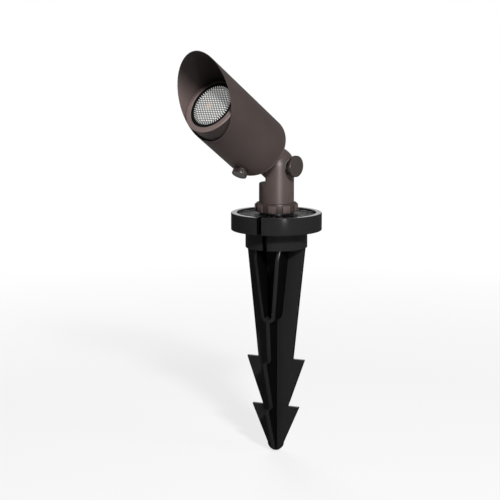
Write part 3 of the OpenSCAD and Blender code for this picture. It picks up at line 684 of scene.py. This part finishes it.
LIP = [(TUBE_R, -14.0), (TUBE_R, -4.0), (TUBE_R, -0.6), (TUBE_R - 0.1, -0.15), (TUBE_R - 0.3, 0.0),
       (TUBE_R - 0.7, 0.0), (TUBE_R - 0.9, -0.2), (TUBE_IN_R + 0.5, -2.0), (TUBE_IN_R, -5.0), (TUBE_IN_R, -14.0)]
BACK_IN_R = BACK_R - BACK_T
outer_back = [(TUBE_R - BACK_R + BACK_R * cos(t), STANDOFF + BACK_R + BACK_R * sin(t))
              for t in [-pi / 2 + k * pi / 32 for k in range(17)]]
inner_back = [(TUBE_IN_R - BACK_IN_R + BACK_IN_R * cos(t), STANDOFF + BACK_T + BACK_IN_R + BACK_IN_R * sin(t))
              for t in [-k * pi / 24 for k in range(13)]]
shroud = Shape()
rings, steps = [], 192
for i in range(steps):
    a = 2 * pi * i / steps
    lip = [(r, mouth_at(r * cos(a), r * sin(a)) + height) for r, height in LIP]
    section = [(NECK_HOLE_R, STANDOFF)] + outer_back + lip + inner_back + [(NECK_HOLE_R, STANDOFF + BACK_T)]
    rings.append([(r * cos(a), r * sin(a), z) for r, z in section])
shroud.loops(rings, around=True)
shroud.piece("shroud_tube", SHADE, bronze_tube, "head", ["shroud"])

BOSS_R, BOSS_HOLE_R, BOSS_RISE = 5.6, 2.6, 0.4
boss = Shape()
turned(boss, eased([(BOSS_HOLE_R, TUBE_IN_R + BOSS_RISE, 0), (BOSS_R, TUBE_IN_R + BOSS_RISE, 0),
                    (BOSS_R, TUBE_R + BOSS_RISE, 0.3), (BOSS_HOLE_R, TUBE_R + BOSS_RISE, 0.1)]), 48)
boss.piece("screw_boss", LOCK_UP, bronze_tube, "head", [])
print("shroud:", len(shroud.faces), "faces")

# %% [markdown]
# The lens ring screws onto the barrel and clamps the lens on a black gasket. It is turned, so its face
# is flat and both its edges are broken by the tool. The lens stands a little proud through the ring.

# %% Lens ring
RING_R, RING_FRONT, OPENING_R = 29.8, 116.0, 24.8
RING_BACK, SKIRT_END, SKIRT_R, SKIRT_IN_R = RING_FRONT - 1.6, RING_FRONT - 8.8, 28.0, 26.6
lens_ring = Shape()
turned(lens_ring, eased([(OPENING_R, RING_BACK, 0.1), (SKIRT_IN_R, RING_BACK, 0), (SKIRT_IN_R, SKIRT_END, 0.2),
                         (SKIRT_R, SKIRT_END, 0.3), (SKIRT_R, RING_BACK, 0), (RING_R, RING_BACK, 0.2),
                         (RING_R, RING_FRONT, 0.7), (OPENING_R, RING_FRONT, 0.5)]), 192)
lens_ring.piece("turned_lens_ring", AIM, bronze_ring, "lens_ring", ["lens_ring"])
print("lens ring:", len(lens_ring.faces), "faces")

# %% [markdown]
# The lens spreads the beam with a grid of small pillows, with a fan of short prisms round its edge. The
# pillows are real: the height of each point comes from where it lies in its own cell. The rows of cells
# are turned by about three quarters of a right angle, as they are in the picture.
#
# The face is made of rings of points, close enough that each cell gets about ten of them across. A
# displacement modifier could lift a plain disc in the same way, but here the finish and the mesh share
# their numbers, so the painted highlight in the middle of each cell always lies on its pillow.


# %% Patterned lens
PILLOW_H, PRISM_H = 0.30, 0.34


def lens_height(x, y):
    """Height of the lens's face over its own plane, in millimetres."""
    r = math.hypot(x, y)
    crown = -0.9 * (r / PROUD_R) ** 2
    if r < PRISM_IN_R:
        row = (x * cos(LATTICE) + y * sin(LATTICE)) * pi / CELL_ALONG
        rank = (y * cos(LATTICE) - x * sin(LATTICE)) * pi / CELL_ACROSS
        fade = min(1.0, (PRISM_IN_R - r) / 0.5)
        return crown - PILLOW_H * fade * (1 - abs(cos(row + rank)) * abs(cos(row - rank)))
    fade = min(1.0, (r - PRISM_IN_R) / 0.4)
    tooth = 0.5 - 0.5 * cos(PRISMS * math.atan2(y, x))
    return crown - PRISM_H * fade * tooth - 0.45 * max(0.0, r - PROUD_R + 0.9) ** 1.5


LENS_TOP, START_R, RING_STEP = LENS_BACK + LENS_T, 0.12, 0.27
RIM = [(PROUD_R + 0.02, LENS_TOP + 0.1), (PROUD_R + 0.1, LENS_TOP), (LENS_R - 0.2, LENS_TOP), (LENS_R, LENS_TOP - 0.2),
       (LENS_R, LENS_BACK + 0.2), (LENS_R - 0.2, LENS_BACK), (12.0, LENS_BACK), (START_R, LENS_BACK)]
lens = Shape()
steps = 336
angles = [2 * pi * i / steps for i in range(steps)]
radii = [START_R + RING_STEP * k for k in range(int((PROUD_R - START_R) / RING_STEP) + 1)] + [PROUD_R]
rings = [[(x, y, z + lens_height(x, y)) for x, y, z in circle(r, PROUD_Z, angles)] for r in radii]
rings += [circle(r, z, angles) for r, z in RIM]
first = lens.loops(rings)
lens.cap(first, steps, flip=True)
lens.cap(first + (len(rings) - 1) * steps, steps)
lens.piece("pillow_lens", AIM, lens_clear, "barrel", ["cover_lens"], sharp=60)
print("lens:", len(lens.faces), "faces")

# %% [markdown]
# The lock ring has nine grip pads with flats between them. It stands at another angle of its own joint
# than in the CAD, the one of the picture. The outline is walked once round for each level of its height.
# Near the top the pads are cut back to the ring's core, which leaves the small ledge that catches the
# light. The points crowd at the sides of the pads, which keeps those edges crisp.


# %% Lock ring
LOCK_R, LOCK_H, LOCK_Z, PADS, CORE_R = 22.0, 8.7, 18.8, 9, 20.5
PAD_HALF, PAD_EDGE = radians(10.4), radians(0.5)


def pad_reach(a):
    """Radius of the ring's outline at an angle: pads stand out, and flats lie between them."""
    off = abs((a + pi / PADS) % (2 * pi / PADS) - pi / PADS)
    step = min(max((PAD_HALF - off) / PAD_EDGE + 0.5, 0.0), 1.0)
    return CORE_R + (LOCK_R - CORE_R) * step * step * (3 - 2 * step)


LEVELS = [(LOCK_R, 0.5, 0.0), (LOCK_R, 0.15, 0.15), (LOCK_R, 0.0, 0.5), (LOCK_R, 0.0, 6.7), (LOCK_R - 0.12, 0.0, 7.0),
          (LOCK_R - 0.5, 0.0, 7.25), (CORE_R + 0.1, 0.0, 7.4), (CORE_R, 0.0, 7.7), (CORE_R - 0.1, 0.0, 8.3),
          (CORE_R - 0.5, 0.0, 8.62), (CORE_R - 0.9, 0.0, LOCK_H)]
HOLE = [(STEM_HOLE_R + 0.3, LOCK_H), (STEM_HOLE_R, LOCK_H - 0.3), (STEM_HOLE_R, 0.3), (STEM_HOLE_R + 0.3, 0)]
one_pad = sorted([-pi / PADS + 2 * pi / PADS * i / 24 for i in range(24)]
                 + [side * (PAD_HALF + PAD_EDGE * t) for side in (-1, 1) for t in (-0.5, -0.2, 0.2, 0.5)])
angles = [2 * pi * k / PADS + turn for k in range(PADS) for turn in one_pad]
rings = []
for most, inset, z in LEVELS:
    reaches = [min(pad_reach(a) - inset, most) for a in angles]
    rings.append([(r * cos(a), r * sin(a), z) for r, a in zip(reaches, angles)])
lock_ring = Shape()
lock_ring.loops(rings + [circle(r, z, angles) for r, z in HOLE], around=True)
lock_ring.piece("padded_lock_ring", Matrix.Translation((0, 0, LOCK_Z * MM)), bronze_lock, "lock_ring",
                ["lock_ring"], sharp=35)
print("lock ring:", len(lock_ring.faces), "faces")

# %% [markdown]
# Both thumbscrews are turned: a coin-like head with rounded edges on a thinner neck, which leaves the
# dark gap that fingers need behind it.


# %% Thumbscrews
def thumbscrew(name, axes, body, node, head_r, head_t, face, neck_r, neck_z, thread_r, end):
    """Sizes in order: the head, where its face lies, the neck and where it ends, the thread and its end."""
    under = face - head_t
    screw = Shape()
    turned(screw, eased([(0.01, end, 0), (thread_r, end, 0.6), (thread_r, neck_z, 0), (neck_r, neck_z, 0.2),
                         (neck_r, under, 0.4), (head_r, under, 0.9), (head_r, face, 0.9),
                         (head_r * 0.86, face - 0.02, 0.3), (head_r * 0.8, face - 0.12, 0.5),
                         (0.01, face - 0.16, 0)], 5), 96)
    screw.piece(name, axes, bronze_screw, body, [node])


thumbscrew("tilt_screw", TILT, "tilt_screw", "tilt_thumbscrew", 10.7, 3.6, 26.0, 6.0, 17.1, 3.0, -11)
thumbscrew("lock_screw", LOCK_UP, "lock_screw", "barrel_lock_screw", 7.5, 4.5, 37.7, 2.5, 32.2, 2.5, 29.8)
print("screws turned")

# %% [markdown]
# The CAD shapes of the knuckle, the barrel and all that lies inside the head are already true to the
# object, so they stay and only get their finishes. A table from finish to nodes is easy to check by eye.

# %% Finishes on the CAD nodes
DRESS = {
    bronze_cast: ["knuckle_base", "knuckle_arm"],
    bronze_barrel: ["lamp_barrel"],
    seal_rubber: ["hub_washer", "stem_grommet", "knuckle_oring", "arm_gasket", "lock_screw_seal",
                  "barrel_orings", "barrel_plug"],
    gasket_black: ["lens_gasket"],
    lamp_black: ["lamp_rim"],
    sink_metal: ["lamp_body"],
    board_lacquer: ["led_board"],
    phosphor: ["led_chip"],
    pin_brass: ["lamp_pins"],
    holder_ceramic: ["lamp_holder"],
    washer_steel: ["thumbscrew_washer", "holder_bracket", "holder_screws"],
    nut_brass: ["arm_nut"],
    wire_jacket: ["lead_wires"],
}
for finish, names in DRESS.items():
    for name in names:
        mesh = frame["nodes"][name].data
        mesh.materials.clear()
        mesh.materials.append(finish)
print("dressed", sum(len(names) for names in DRESS.values()), "nodes")

# %% [markdown]
# The photograph is a studio picture on white. The floor is a pale sheet just under the tip of the
# spike: what the camera sees of it is mostly white light of its own, and the rest is plain paint that
# keeps the lamp's soft shadow. Further out the sheet is all light, as a lit sweep of paper would be.
# The world is white to the camera and to reflections, and a plain grey to everything else.

# %% Floor
FLOOR_GAP, FLOOR_HALF = 1 * MM, 12.0
NEAR, FAR, NEAR_SHARE = 0.35, 1.1, 0.75
floor_mesh = bpy.data.meshes.new("floor")
floor_mesh.from_pydata([(x * FLOOR_HALF, y * FLOOR_HALF, 0) for x, y in ((-1, -1), (1, -1), (1, 1), (-1, 1))],
                       [], [(0, 1, 2, 3)])
floor = bpy.data.objects.new("floor", floor_mesh)
floor.location.z = CAD_LOW.z - FLOOR_GAP
bpy.context.scene.collection.objects.link(floor)
floor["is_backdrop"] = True

paper = new_finish("paper")
apart = paper.out(paper.add("ShaderNodeVectorMath", {"operation": "LENGTH"}, {0: paper.place}), "Value")
white_share = paper.seen() * paper.remap(apart, NEAR, FAR, NEAR_SHARE, 1.0)
painted = paper.out(paper.add("ShaderNodeBsdfDiffuse", None, {"Color": grey(0.8)}))
glowing = paper.out(paper.add("ShaderNodeEmission", None, {"Color": grey(1.0), "Strength": 1.0}))
both = paper.out(paper.add("ShaderNodeMixShader", None, {0: white_share, 1: painted, 2: glowing}))
paper.add("ShaderNodeOutputMaterial", None, {"Surface": both})
floor_mesh.materials.append(paper.owner)
print("floor at", round(floor.location.z, 4))

# %% World
WORLD_LEVEL = 0.02
bpy.context.scene.world = bpy.data.worlds.new("studio")
sky = Finish(bpy.context.scene.world)
plain = sky.out(sky.add("ShaderNodeBackground", None, {"Color": grey(1.0), "Strength": WORLD_LEVEL}))
white = sky.out(sky.add("ShaderNodeBackground", None, {"Color": grey(1.0), "Strength": 1.0}))
mixed = sky.out(sky.add("ShaderNodeMixShader", None, {0: sky.seen(), 1: plain, 2: white}))
sky.add("ShaderNodeOutputWorld", None, {"Surface": mixed})
print("world level", WORLD_LEVEL)

# %% [markdown]
# The key is a fairly small softbox, because the picture's shadows have an edge. A wide weak one opens the
# right side, and another does so for the back, which only other views see. The card is a lit strip that
# paints no light on matt surfaces: it is there for the tall highlight on the knuckle's post.


# %% Studio lamps
def softbox(name, round_deg, up_deg, away, size, power, tall=0, target=Vector((0, 0, 0.05))):
    """A lamp that looks at the object from a direction about it."""
    lamp = bpy.data.lights.new(name, "AREA")
    lamp.shape, lamp.size, lamp.size_y, lamp.energy = "RECTANGLE", size, tall or size, power
    holder = bpy.data.objects.new(name, lamp)
    around, up = radians(round_deg), radians(up_deg)
    back = Vector((sin(around) * cos(up), -cos(around) * cos(up), sin(up)))
    holder.location = target + back * away
    holder.rotation_euler = (-back).to_track_quat("-Z", "Y").to_euler()
    bpy.context.scene.collection.objects.link(holder)
    return holder


softbox("key", 38, 30, 1.8, 0.2, 37)
softbox("right", 85, 20, 2.0, 0.8, 6)
softbox("behind", 215, 40, 2.0, 0.8, 16).visible_glossy = False
softbox("card", 42, 8, 1.5, 0.25, 90, 0.45).visible_diffuse = False
bpy.context.scene.view_settings.view_transform = "Standard"
print("lamps placed")

# %% [markdown]
# The last step compares the dressed model's box with that of the CAD, and hands the scene over.

# %% Sizes and finish
low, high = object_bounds()
past = [max(0.0, high[k] - CAD_HIGH[k], CAD_LOW[k] - low[k]) / MM for k in range(3)]
print("past the CAD's box by", [round(p, 2) for p in past], "mm")
